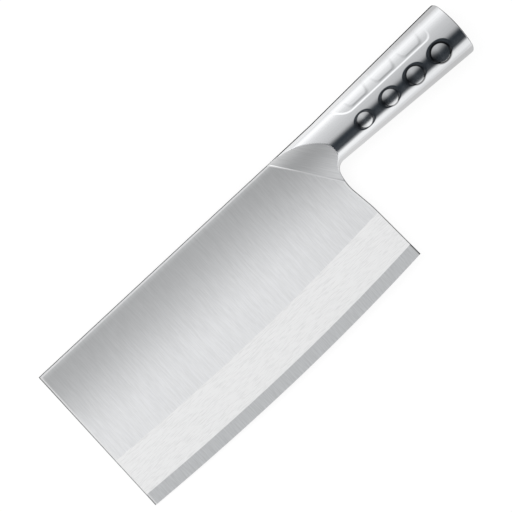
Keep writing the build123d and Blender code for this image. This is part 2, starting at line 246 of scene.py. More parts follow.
@named
class DomeSizes(bpy.types.PropertyGroup):
    """Sizes of the grip domes and of the dishes that they stand in."""

    count: count("Number of domes on each side", 4)
    start: length("From the neck to the first dome", 25.6)
    pitch: length("From one dome to the next", 20.1)
    first_offset: length("From the crown line to the first dome", 5.45)
    last_offset: length("From the crown line to the last dome", 6.3)
    first_radius: length("Radius of the first dome", 4.85)
    last_radius: length("Radius of the last dome", 5.85)
    first_slope: turn("Steepness of the first dome at its foot", 18.5)
    last_slope: turn("Steepness of the last dome at its foot", 9.8)
    first_lean: turn("How far the first dome leans to the crown line", 1)
    last_lean: turn("How far the last dome leans to the crown line", 4.4)
    first_margin: length("How deep the first dome's foot lies on the finger side", 0.08)
    last_margin: length("How deep the last one lies: less than nothing stands out", -0.34)
    wall_slope: turn("Steepness of the wall under a foot that stands out", 35)
    dish_slope: turn("Steepness of the dish at the foot", 17)
    dish_curve: number("Power that shapes the dish's wall, 1 for a straight one", 1.3)
    foot_softness: length("Height over which dome and dish flow together", 0.08)
    # Painted shade round the domes: a darker ring at each foot, and darker sides towards the neck and the
    # butt
    crease_inside: length("Reach of the darker crease inside the foot", 0.4)
    first_crease_reach: length("Its reach outside the first foot", 0.6)
    last_crease_reach: length("Its reach outside the last foot", 1.7)
    first_crease: share("How much darker it is at the first dome", 0.55)
    last_crease: share("How much darker it is at the last dome", 0.92)
    crease_fullness: number("How much of the crease is fully dark", 1.6)
    neck_shade: share("How much darker the domes are on the neck's side", 0.85)
    butt_shade: share("How much darker they are on the butt's side", 0.4)
    shade_slope: number("How fast those shades grow along the handle", 1.1)
    shade_start: number("How far from a dome's middle those shades start", 0.1)
    shade_reach: number("How fast they end past the foot", 1.2)
    dull_start: share("Part of a dome's radius at which its duller top ends", 0.8)
    last_dull: share("How dull the last dome is beside the first", 0.4)
    skin_radius: length("Radius of the handle's flat arcs", 30.5)


@named
class SteelFinish(bpy.types.PropertyGroup):
    """Colours and gloss of the steel."""

    # Painted reflection: the brushed blade is darker along the spine and lighter over the middle
    spine: colour("Brushed steel along the spine", 0.49, 0.495, 0.5)
    middle: colour("Brushed steel over the ground band", 0.925, 0.93, 0.94)
    band: colour("Ground band", 0.99, 0.99, 0.99)
    bevel: colour("Bevel along the edge", 0.66, 0.67, 0.68)
    polish: colour("Polished neck and the handle beside it", 0.985, 0.99, 1.0)
    # Painted shade: the handle's polish darkens towards the butt
    butt: colour("Polished butt, a little duller", 0.88, 0.885, 0.895)
    # Painted shade and highlight on the crescents: darker by the spine, lighter towards the finger hollow,
    # and a painted highlight near the spine
    crescent: colour("Crescents by the spine", 0.5, 0.505, 0.51)
    crescent_low: colour("Crescents by the finger hollow", 0.86, 0.865, 0.875)
    crescent_glow: length("How far down from the spine they are lighter again", 13)
    crescent_start: length("From the spine to where they brighten", 12)
    crescent_end: length("From the spine to where they are brightest", 36)
    # Painted highlight just inside the blade's rim, and painted dark reflection on the rim, the neck's
    # outline and the heel's corner
    rim_light: share("How much lighter the blade is just inside its rim", 0.6)
    rim_dark: share("How much darker its rim is", 0.6)
    heel_rim_dark: share("How much darker still the rim is at the heel", 0.2)
    corner_dark: share("How much darker the bevel's corner is at the heel", 0.5)
    brushing: share("Contrast of the brushed lines", 0.12)
    wide_share: share("Share of the wide lines in the brushing", 0.3)
    band_grain: share("Contrast of the band's lengthwise lines", 0.18)
    bevel_grain: share("Contrast of the bevel's cross lines", 0.14)
    polish_grain: share("Contrast of the handle's polishing lines", 0.03)
    # Painted highlight along the spine
    spine_glow: share("How much lighter the brushed steel is at the spine", 0.3)
    spine_glow_reach: length("How far down that strip fades out", 4.8)
    heel_shade: share("How much darker the brushed steel is beside the neck", 0.13)
    heel_shade_reach: length("How far from the heel that shade starts", 80)
    # Where that painted reflection fades from dark to bright
    dark_start: length("From the spine to where the brushed steel brightens", 3)
    dark_end: length("From the spine to where it is fully bright", 57)
    blade_metal: share("How far the brushed blade is a mirror, not matt", 0.55)
    blade_roughness: share("Roughness of the brushed blade", 0.32)
    band_roughness: share("Roughness of the ground band", 0.5)
    # Strength of the painted highlight on the joint's fillet
    line: share("Strength of the bright line on the joint", 0.9)
    crescent_metal: share("How far the crescents are a mirror", 0.55)
    crescent_roughness: share("Roughness of the crescents", 0.3)
    dome_roughness: share("Roughness of the first grip dome", 0.16)
    polish_roughness: share("Roughness of the polished handle", 0.09)
    brush_depth: length("Depth of the brushed lines", 0.004)
    polish_depth: length("Depth of the polishing lines", 0.0006)


@named
class StudioSettings(bpy.types.PropertyGroup):
    """Picture frame, floor and light."""

    image_size: count("Side of the square picture in pixels", 512)
    tip_x: number("Pixels from the picture's left to the spine's end at the tip", 41.5)
    tip_y: number("Pixels from the picture's top to that end", 375.8)
    tip_overlap: number("Pixels from there back to the tip", 4.6)
    spine_overlap: number("Pixels from there up to the spine", 0.7)
    pixel: length("Size of a pixel on the blade", 0.6023)
    spine_angle: turn("Angle of the spine in the picture", 42.91)
    lens: number("Focal length in millimetres", 200)
    sensor: number("Sensor width in millimetres", 36)
    fill: number("Strength of the surroundings on matt surfaces", 1)
    wall_start: turn("From overhead to where the white end walls start", 44)
    wall_end: turn("From overhead to where they are fully white", 60)
    wall: share("Brightness of these walls in reflections", 0.8)
    flag_start: turn("From overhead to the black flag, on the edge's side", 8)
    flag_end: turn("From overhead to the flag's far side", 37)
    flag_reach: turn("How far the flag stands out before the end walls", 64)
    flag_softness: turn("Half the angle over which its sides fade", 3)
    card_margin: length("How far the black card stands out under the knife", 14)
    neck_margin: length("How far it stands out at the neck's spine", 10)
    butt_margin: length("How far it stands out at the butt's spine", 13)
    end_margin: length("How far it stands out behind the butt", 15)
    card_gap: length("Gap between the floor and each card over it", 0.2)
    # Painted shade on the grey card, standing for the floor's shadow beside the knife in reflections
    grey_card: share("Brightness of the grey card beside the butt", 0.58)
    grey_card_spine: share("The same beside the neck, on the spine's side", 0.84)
    grey_card_belly: share("The same on the finger side", 0.63)
    grey_card_far: share("How much lighter that card is far away", 0.1)
    black_card: share("Brightness of the black card", 0.015)
    floor_size: length("Side of the floor", 6000)
    floor_grey: share("Colour of the floor", 0.9)
    floor_white: number("Brightness of the floor as the camera sees it", 1.02)
    floor_plain: share("How far the camera sees it without shadow", 0.86)
    lamp_power: number("Power of the soft lamp in watts", 8)
    lamp_size: length("Side of that lamp", 900)


@named
class CleaverSettings(bpy.types.PropertyGroup):
    """Everything that shapes the cleaver and its studio."""

    blade: (PointerProperty, dict(type=BladeSizes))
    neck: (PointerProperty, dict(type=NeckSizes))
    handle: (PointerProperty, dict(type=HandleSizes))
    panel: (PointerProperty, dict(type=PanelSizes))
    domes: (PointerProperty, dict(type=DomeSizes))
    finish: (PointerProperty, dict(type=SteelFinish))
    studio: (PointerProperty, dict(type=StudioSettings))


def settings():
    """The scene's cleaver settings."""
    return bpy.context.scene.cleaver


# Node trees as Python expressions


class Wire:
    """An output socket. Maths on it adds Math nodes to its tree."""

    def __init__(self, tree, socket):
        self.tree = tree
        self.socket = socket

    def node(self, kind, sockets, output=0, **values):
        """Any other node of this wire's tree."""
        return add_node(self.tree, kind, sockets, output, **values)

    def maths(self, operation, *others):
        """A Math node on this wire and up to two more values."""
        return self.node("ShaderNodeMath", dict(enumerate((self, *others))), operation=operation)

    def __add__(self, other):
        return self.maths("ADD", other)

    def __sub__(self, other):
        return self.maths("SUBTRACT", other)

    def __rsub__(self, other):
        return self.maths("MULTIPLY_ADD", -1, other)

    def __mul__(self, other):
        return self.maths("MULTIPLY", other)

    def __truediv__(self, other):
        return self.maths("DIVIDE", other)

    def __neg__(self):
        return self.maths("MULTIPLY", -1)

    def __pow__(self, other):
        return self.maths("POWER", other)

    __radd__ = __add__
    __rmul__ = __mul__

    def least(self, other):
        return self.maths("MINIMUM", other)

    def most(self, other):
        return self.maths("MAXIMUM", other)

    def rises(self, low, high):
        """0 below low, 1 over high, and a smooth step between them."""
        ends = {"Value": self, "From Min": low, "From Max": high}
        return self.node("ShaderNodeMapRange", ends, interpolation_type="SMOOTHSTEP")

    def mix(self, low, high):
        """Low where this is 0 and high where it is 1, for numbers."""
        return self.node("ShaderNodeMix", {0: self, 2: low, 3: high}, data_type="FLOAT")

    def blend(self, low, high):
        """Low where this is 0 and high where it is 1, for colours."""
        return self.node("ShaderNodeMix", {0: self, 6: low, 7: high}, 2, data_type="RGBA")


def fill(node, sockets):
    """Gives a node's sockets their values or links."""
    for name, value in dict(sockets).items():
        socket = node.inputs[name]
        if isinstance(value, Wire):
            value.tree.links.new(value.socket, socket)
        elif hasattr(value, "__len__") and not isinstance(value, str):
            socket.default_value = (*value, 1)[: len(socket.default_value)]
        else:
            socket.default_value = value


def add_node(tree, kind, sockets=(), output=0, stops=(), **values):
    """Adds a node: its settings or ramp stops first, then its sockets. Gives the wire of one output."""
    node = tree.nodes.new(kind)
    for name, value in values.items():
        setattr(node, name, value)
    for index, (place, shade) in enumerate(stops):
        elements = node.color_ramp.elements
        stop = elements[index] if index < 2 else elements.new(place)
        stop.position = place
        stop.color = (*shade, 1)
    fill(node, sockets)
    return Wire(tree, node.outputs[output]) if len(node.outputs) else node


# Grids of points and closed pieces made from them


def grid_faces(rows, columns, first=0, around=False):
    """Quads between a grid's points, from its last column to its first too if it goes around."""
    row = np.arange(rows - 1)[:, None] * columns + first
    column = np.arange(columns if around else columns - 1)
    after = (column + 1) % columns
    corners = (row + column, row + after, row + columns + after, row + columns + column)
    return np.stack(corners, axis=-1).reshape(-1, 4)


def grid_normals(points, around=False):
    """Normals of a grid's surface at its points."""
    padded = np.concatenate([points[:, -1:], points, points[:, :1]], axis=1) if around else points
    normals = np.cross(np.gradient(padded, axis=1), np.gradient(padded, axis=0))
    normals /= np.maximum(np.linalg.norm(normals, axis=2, keepdims=True), 1e-15)
    return normals[:, 1:-1] if around else normals


def zipper(first, flipped=False):
    """Faces that close an oval loop, between its points in front and those behind them."""
    faces = []
    for i in range(HALF):
        face = dict.fromkeys((i + 1, i, (LOOP - i) % LOOP, LOOP - i - 1))
        faces.append([first + corner for corner in (reversed(face) if flipped else face)])
    return faces


def link(name, data):
    """A new object in the scene."""
    made = bpy.data.objects.new(name, data)
    bpy.context.scene.collection.objects.link(made)
    return made


def add_mark(mesh, name, values, kind="FLOAT"):
    """Gives each point of a mesh a number, or a vector."""
    layer = mesh.attributes.new(name, kind, "POINT")
    layer.data.foreach_set("value" if kind == "FLOAT" else "vector", np.ravel(values).astype(np.float32))


def make_piece(name, points, normals, smooth, flat, material, slot, marks=()):
    """A finished piece from points, their normals, and groups of smooth faces and of flat ones."""
    points = points.reshape(-1, 3)
    mesh = bpy.data.meshes.new(name)
    faces = [[int(corner) for corner in face] for group in (*smooth, *flat) for face in group]
    mesh.from_pydata(points.tolist(), [], faces)
    mesh.shade_smooth()
    corners = np.concatenate([group.ravel() for group in smooth])
    corner_normals = normals.reshape(-1, 3)[corners].tolist()
    for polygon in mesh.polygons[sum(map(len, smooth)) :]:
        corner_normals += [tuple(polygon.normal)] * polygon.loop_total
    mesh.normals_split_custom_set(corner_normals)

    # Marks given for the front only are repeated for the back
    for mark_name, values in dict(marks).items():
        add_mark(mesh, mark_name, np.resize(values, len(points)))
    mesh.materials.append(material)
    piece = link(name, mesh)
    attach(piece, BODY)
    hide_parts(name)


def make_plate(name, outer, inner, normals, material, slot, marks, smooth_back=False):
    """A piece with a fine front, a back that may be coarser, and flat walls between them."""
    rows, columns = outer.shape[:2]
    front = np.arange(rows * columns).reshape(rows, columns)
    behind = rows * columns + np.arange(inner[..., 0].size).reshape(inner.shape[:2])
    step = (columns - 1) // (inner.shape[1] - 1)
    sides = (
        (front[0, ::-1], behind[0, ::-1]),
        (front[-1], behind[-1]),
        (front[:, 0], behind[:, 0]),
        (front[::-1, -1], behind[::-1, -1]),
    )
    walls = []
    for outside, inside in sides:
        for k in range(len(inside) - 1):
            walls.append([*outside[k * step : (k + 1) * step + 1], inside[k + 1], inside[k]])
    face = grid_faces(rows, columns)
    back = grid_faces(*inner.shape[:2], rows * columns)[:, ::-1]
    points = np.concatenate([outer.reshape(-1, 3), inner.reshape(-1, 3)])
    groups = ([face, back], [walls]) if smooth_back else ([face], [back, walls])
    make_piece(name, points, normals, *groups, material, slot, marks)


def smooth_step(values):
    """0 below 0, 1 over 1, and a smooth step between them."""
    inside = np.clip(values, 0, 1)
    return inside * inside * (3 - 2 * inside)


def soft_least(first, second, softness):
    """The smaller of two heights, rounded where they cross."""
    near = np.maximum(softness - np.abs(first - second), 0) / softness
    return np.minimum(first, second) - near * near * softness / 4


def soft_most(first, second, softness):
    """The larger of two heights, rounded where they cross."""
    return -soft_least(-first, -second, softness)


# The knife's own places: from the tip along the spine, down from the spine, out of the middle plane


def knife_start():
    """Row frame place of the knife's tip end, spine line and middle plane."""
    return np.array([-overall_length() / 2, blade_high.y, (blade_low.z + blade_high.z) / 2])


def in_row_frame(along, down, out):
    """Points in the row frame."""
    return np.stack(np.broadcast_arrays(along, -np.asarray(down), out), axis=-1) + knife_start()


def choil_lean():
    """Angle between the finger hollow's upper line and the blade's depth."""
    neck = settings().neck
    back = neck.hollow_inset - neck.choil_corner_inset
    return atan2(back, neck.hollow_drop - settings().handle.neck_height)


def neck_along():
    """Where the neck ends and the handle's taper starts."""
    neck = settings().neck
    corner = settings().blade.length - neck.choil_corner_inset
    return corner + neck.choil_radius * tan((pi / 2 - choil_lean()) / 2)


def overall_length():
    """From the tip to the end of the butt."""
    return neck_along() + settings().handle.length


def bend(down, place, slope_change, radius):
    """What a rounded bend of a nearly upright line adds to its straight start."""
    reach = abs(slope_change) * radius / 2
    past = down - place
    inside = slope_change * (past + reach) ** 2 / (4 * reach)
    return np.where(past < -reach, 0, np.where(past > reach, slope_change * past, inside))


def heel_line(down):
    """The blade's back line under the choil: finger hollow, bend and heel."""
    blade, neck = settings().blade, settings().neck
    first = -tan(choil_lean())
    second = (neck.hollow_inset - neck.heel_bend_inset) / (neck.heel_bend_drop - neck.hollow_drop)
    third = neck.heel_bend_inset / (blade.depth - neck.heel_bend_drop)
    line = blade.length - neck.hollow_inset + first * (down - neck.hollow_drop)
    line = line + bend(down, neck.hollow_drop, second - first, neck.hollow_radius)
    return line + bend(down, neck.heel_bend_drop, third - second, neck.heel_bend_radius)


def edge_arc(along):
    """How far a place lies behind the edge's lowest point, and the edge's radius there."""
    blade = settings().blade
    past = along - blade.belly_from_tip
    return past, np.where(past < 0, blade.toe_edge_radius, blade.heel_edge_radius)


def edge_depth(along, inset):
    """Depth of the cutting edge, or of the line that runs inside it at an inset."""
    past, radius = edge_arc(along)
    return settings().blade.depth - radius + np.sqrt((radius - inset) ** 2 - past**2)


def joint_distance(along, down):
    """How far a point lies behind the slanting joint of blade and neck."""
    neck = settings().neck
    start = settings().blade.length - neck.slant_start_inset
    return (along - start) * sin(neck.slant_angle) - down * cos(neck.slant_angle)


# Blade


def joint_corner():
    """Depth at which the slanting joint meets the finger hollow."""
    down = np.linspace(0, settings().blade.depth, 4001)
    return float(down[np.argmin(joint_distance(heel_line(down), down) > 0)])


def blade_grid():
    """Plan places of the blade's points, in columns from tip to heel and rows from spine to edge."""
    blade, neck = settings().blade, settings().neck
    rim = [0, blade.rim_width / 2, *np.linspace(blade.rim_width, blade.rim_width + blade.round_width, 6)]
    above = blade.depth - blade.band_width
    corner = joint_corner()
    flat = [*rim, *np.linspace(rim[-1], corner, FACE_POINTS)[1:]]
    flat += [*np.linspace(corner, above, FACE_POINTS)[1:]]
    insets = [*np.linspace(blade.band_width, blade.bevel_width, BAND_POINTS)[1:]]
    insets += [*np.linspace(blade.bevel_width, 0, BEVEL_POINTS)[1:]]
    steps = np.array(rim) / blade.length
    middle = np.linspace(steps[-1], 1 - steps[-1], LONG_POINTS)[1:-1]
    columns = np.concatenate([steps, middle, 1 - steps[::-1]])
    start = blade.length - neck.slant_start_inset
    lines = [(down / above, blade.band_width) for down in flat] + [(1, inset) for inset in insets]

    # A row's depth depends on its place along the knife, and its ends on its depth
    rows = []
    for part, inset in lines:
        along = blade.length * columns
        for _ in range(6):
            down = part * edge_depth(along, inset)
            left = blade.tip_rake * (1 - down / blade.depth)
            right = np.where(down < corner, start + down / tan(neck.slant_angle), heel_line(down))
            along = left + columns * (right - left)
        rows.append((along, down))
    return np.array(rows).transpose(1, 2, 0)


def blade_height(along, down):
    """Height of the blade's face over its middle plane, and distances from its edge and its rim."""
    blade = settings().blade
    past, radius = edge_arc(along)
    from_edge = radius - np.hypot(past, down - blade.depth + radius)
    heights = (blade.edge_thickness / 2, blade.band_thickness / 2, blade_face)
    height = np.interp(from_edge, (0, blade.bevel_width, blade.band_width), heights)
    from_tip = along - blade.tip_rake * (1 - down / blade.depth)
    behind_corner = joint_distance(along, down) < -blade.rim_width
    from_heel = np.where(behind_corner | (down > joint_corner()), heel_line(down) - along, blade.length)
    from_rim = np.maximum(np.minimum(np.minimum(from_tip, down), from_heel), 0)
    rounding = np.clip(1 - (from_rim - blade.rim_width) / blade.round_width, 0, 1)
    chamfer = np.clip(1 - from_rim / blade.rim_width, 0, 1)
    drop = blade.round_drop * rounding**2 + blade.rim_drop * chamfer
    return height - drop * height / blade_face, from_edge, from_rim


def make_blade(material):
    """The blade: two ground faces that meet in the edge, with a chamfered rim elsewhere."""
    along, down = blade_grid()
    height, from_edge, from_rim = blade_height(along, down)
    front = in_row_frame(along, down, height)
    outward = grid_normals(front)
    normals = np.concatenate([outward, outward * [1, 1, -1]])
    marks = {"from_edge": from_edge, "from_spine": down, "from_rim": from_rim}
    back = in_row_frame(along, down, -height)
    make_plate("blade", front, back, normals, material, "blade_steel", marks, smooth_back=True)


# Neck and handle


def quarter_oval(height, thickness, end_radius):
    """A quarter of an oval of four tangent arcs: heights, reaches and normals, spine end first."""
    half, out = height / 2, thickness / 2
    flat_radius = ((half - end_radius) ** 2 + out**2 - end_radius**2) / (2 * (out - end_radius))
    meet = atan2(flat_radius - out, half - end_radius)
    end = np.linspace(0, meet, END_STEPS, endpoint=False)
    angle = np.concatenate([end, np.linspace(meet, pi / 2, FLAT_STEPS + 1)])
    radius = np.where(angle < meet, end_radius, flat_radius)
    up = np.where(angle < meet, half - end_radius, 0) + radius * np.cos(angle)
    reach = np.where(angle < meet, 0, out - flat_radius) + radius * np.sin(angle)
    return up, reach, np.cos(angle), np.sin(angle)


def whole_loop(up, out):
    """A quarter mirrored twice: over the front to the finger side, and back behind."""
    up = np.concatenate([up, -up[-2::-1]])
    out = np.concatenate([out, out[-2::-1]])
    return np.concatenate([up, up[-2:0:-1]]), np.concatenate([out, -out[-2:0:-1]])


def oval_loops():
    """Loops of the neck's and the butt's oval, and the butt's normals."""
    handle = settings().handle
    neck = quarter_oval(handle.neck_height, handle.neck_thickness, handle.neck_end_radius)
    butt = quarter_oval(handle.butt_height, handle.butt_thickness, handle.butt_end_radius)
    return whole_loop(*neck[:2]), whole_loop(*butt[:2]), whole_loop(*butt[2:])


def loop_shares():
    """How far each point of a loop lies from the spine to the finger side, and its side of the knife."""
    (up, out), _, _ = oval_loops()
    return (1 - up / up[0]) / 2, np.sign(np.round(out, 9))


def handle_loops(stations):
    """Bare skin of the handle: one loop of points at each station."""
    handle = settings().handle
    (neck_up, neck_out), (butt_up, butt_out), _ = oval_loops()
    start, end = neck_along(), overall_length() - handle.butt_reach
    stations = np.asarray(stations)[:, None]
    grown = (stations - start) / (end - start)
    neck_centre = handle.neck_height / 2
    centre = neck_centre + grown * (handle.butt_height / 2 - handle.butt_rise - neck_centre)
    up = neck_up + grown * (butt_up - neck_up)
    return in_row_frame(stations, centre - up, neck_out + grown * (butt_out - neck_out))


def oval_height(inset):
    """Half thickness of the neck's oval at an inset from its end."""
    handle = settings().handle
    radius = handle.neck_end_radius
    up, reach, _, _ = quarter_oval(handle.neck_height, handle.neck_thickness, radius)
    insets = handle.neck_height / 2 - up
    on_end = np.sqrt(np.maximum(radius**2 - (radius - inset) ** 2, 0))
    return np.where(inset < insets[END_STEPS], on_end, np.interp(inset, insets, reach))


def neck_height_at(along, down):
    """Height of the neck over the middle plane, how far it is ground there, and its outline's painted dark
    reflection.
    """
    neck = settings().neck
    radius = neck.choil_radius
    forward = neck_along() - along
    lift = settings().handle.neck_height + radius - down
    swing = pi / 2 - choil_lean()
    straight_inset = forward * sin(swing) + lift * cos(swing) - radius
    round_inset = np.hypot(forward, lift) - radius
    from_choil = np.where(np.arctan2(forward, lift) > swing, straight_inset, round_inset)
    inset = np.maximum(np.minimum(down, from_choil), 0)
    oval = oval_height(inset)
    fillet = neck.weld_fillet
    behind = joint_distance(along, down)
    risen = np.where(behind < fillet, np.maximum(behind + fillet, 0) ** 2 / (4 * fillet), behind)
    ramp = blade_face + tan(neck.ramp_angle) * risen
    ground = smooth_step((oval - ramp) / neck.ridge_softness / 2 + 0.5)
    outline = (1 - inset / neck.outline_width).clip(0) * smooth_step(forward / radius)
    return soft_least(oval, ramp, neck.ridge_softness), ground, outline


def choil_path():
    """The outline under the neck, from the handle round the choil to the finger hollow."""
    neck = settings().neck
    angle = np.linspace(0, pi / 2 - choil_lean(), PATH_POINTS)
    along = neck_along() - neck.choil_radius * np.sin(angle)
    down = settings().handle.neck_height + neck.choil_radius * (1 - np.cos(angle))
    lower = np.linspace(down[-1], neck.hollow_drop, PATH_POINTS)[1:]
    return np.array([[*along, *heel_line(lower)], [*down, *lower]])


def neck_lines(behind):
    """Starts and ends of lines that run parallel to the slanting joint, at distances behind it."""
    neck = settings().neck
    path = choil_path()[:, ::-1]
    behind = np.asarray(behind)
    start = settings().blade.length - neck.slant_start_inset + behind / sin(neck.slant_angle)
    end_along, end_down = (np.interp(behind, joint_distance(*path), line) for line in path)
    return start, 0 * behind, end_along, end_down


def line_points(start_along, start_down, end_along, end_down, shares):
    """Plan points along straight lines, at shares of their lengths."""
    along = start_along[:, None] + (end_along - start_along)[:, None] * shares
    down = start_down[:, None] + (end_down - start_down)[:, None] * shares
    return along, down


def make_bolster(material):
    """The neck: an oval that flares round the choil, cut by two ground crescents."""
    neck, handle = settings().neck, settings().handle
    shares, side = loop_shares()

    # Behind the welds, lines fan out from the slant of the joint to the upright oval
    path = choil_path()
    travel = np.concatenate([[0], np.cumsum(np.hypot(*np.diff(path)))])
    last = np.interp(-neck.weld_width, -joint_distance(*path), travel)
    fan = np.linspace(1, 0, FAN_LINES)
    upper = neck_along() + fan * (neck_lines([neck.weld_width])[0][0] - neck_along())
    lower = (np.interp(fan * last, travel, line) for line in path)
    along, down = line_points(upper, 0 * fan, *lower, shares)
    height, ground, outline = neck_height_at(along, down)
    stop = neck_along() + handle.neck_joint_reach - handle.bead_width / 2
    skin = handle_loops(np.linspace(neck_along(), stop, 11)[1:])
    outer = np.concatenate([in_row_frame(along, down, height * side), skin])

    # The thin tongue between the two blade welds has the first two rows
    along, down = line_points(*neck_lines([0, neck.weld_width]), shares)
    thin = np.minimum(neck_height_at(along, down)[0], neck.tongue_thickness / 2)
    points = np.concatenate([in_row_frame(along, down, thin * side), outer])
    normals = np.concatenate([0 * points[:2], grid_normals(outer, around=True)])
    rows = len(points)
    smooth = [grid_faces(rows - 2, LOOP, 2 * LOOP, around=True)]
    flat = [grid_faces(3, LOOP, around=True), zipper(0), zipper((rows - 1) * LOOP, flipped=True)]
    around = ((2, len(skin)), (0, 0))
    marks = {"ground": np.pad(ground, around), "outline": np.pad(outline, around)}
    make_piece("bolster", points, normals, smooth, flat, material, "neck_steel", marks)


def make_blade_welds(material):
    """The two weld runs over the slanting joint, each with a hollow fillet towards the blade."""
    neck, radius = settings().neck, settings().handle.neck_end_radius
    fillet = neck.weld_fillet
    behind = np.concatenate([np.linspace(-fillet, fillet, 21), np.linspace(fillet, neck.weld_width, 9)[1:]])
    lines = neck_lines(behind)
    behind = behind[:, None]

    # The runs stop a little inside the outline, where the neck is as thin as the tongue
    half_tongue = neck.tongue_thickness / 2
    inset = WELD_TRIM * (radius - sqrt(radius**2 - half_tongue**2))
    trim = inset / np.hypot(lines[2] - lines[0], lines[3] - lines[1])[:, None]
    shares = trim + loop_shares()[0][: HALF + 1] * (1 - 2 * trim)
    along, down = line_points(*lines, shares)
    height, _, outline = neck_height_at(along, down)
    under = np.where(behind < 0, blade_face, half_tongue - neck.weld_sink) + 0 * along
    height = np.maximum(height, under + neck.weld_least)
    # Painted highlight along the fillet, fading in at its start and turning to painted shade past its end
    line = (1 - np.abs(behind) / neck.line_width).clip(0) * (1 - shares / neck.line_end)
    line = line * smooth_step(shares / neck.line_start)
    places = {"ground": 1 + 0 * line, "line": line, "outline": outline}
    for name, side in (("blade_weld_front", 1), ("blade_weld_back", -1)):
        outer = in_row_frame(along, down, side * height)[::side]
        inner = in_row_frame(along, down, side * under)[::side]
        marks = {mark: values[::side] for mark, values in places.items()}
        make_plate(name, outer, inner, grid_normals(outer), material, "neck_steel", marks)


def panel_relief(along, down, normals):
    """How far the thumb panel lies under the skin between its pads, and the painted shade on their walls.
    """
    panel = settings().panel
    past = along - neck_along()
    before = (panel.start - (panel.drop - down) / tan(panel.lean) - past) * sin(panel.lean)
    outside = soft_most(down - panel.drop, before, panel.start_softness)
    outside = soft_most(outside, past - panel.end, panel.end_softness)
    sunk = 1 - smooth_step((outside + panel.step_width) / panel.step_width)
    rise = panel.pad_drop - down
    width = panel.pad_step_width
    shade = 0 * past
    for index in range(panel.pad_count):
        left = panel.pad_start + index * panel.pad_pitch
        to_left = (left - rise * tan(panel.pad_start_lean) - past) * cos(panel.pad_start_lean)
        right = left + panel.pad_length + rise * tan(panel.pad_end_lean)
        to_right = (past - right) * cos(panel.pad_end_lean)
        around = soft_most(soft_most(-rise, to_left, panel.pad_softness), to_right, panel.pad_softness)
        sunk = sunk * smooth_step((around + width / 2) / width)
        # Painted shade on each pad's wall, on the butt's side
        wall = (1 - np.abs(around) / width).clip(0) * smooth_step(1 + to_right / width / 2)
        shade = np.maximum(shade, wall)
    shade = panel.pad_shade * shade * (1 - rise / panel.pad_drop).clip(0, 1)
    near_start = 1 - smooth_step((past - panel.start + panel.drop) / panel.drop)
    fade = panel.fade + panel.start_fade * near_start
    floor = panel.sink * np.abs(normals[..., 2]) - fade * normals[..., 1]
    return -sunk * soft_most(floor, 0 * floor, panel.fade), shade


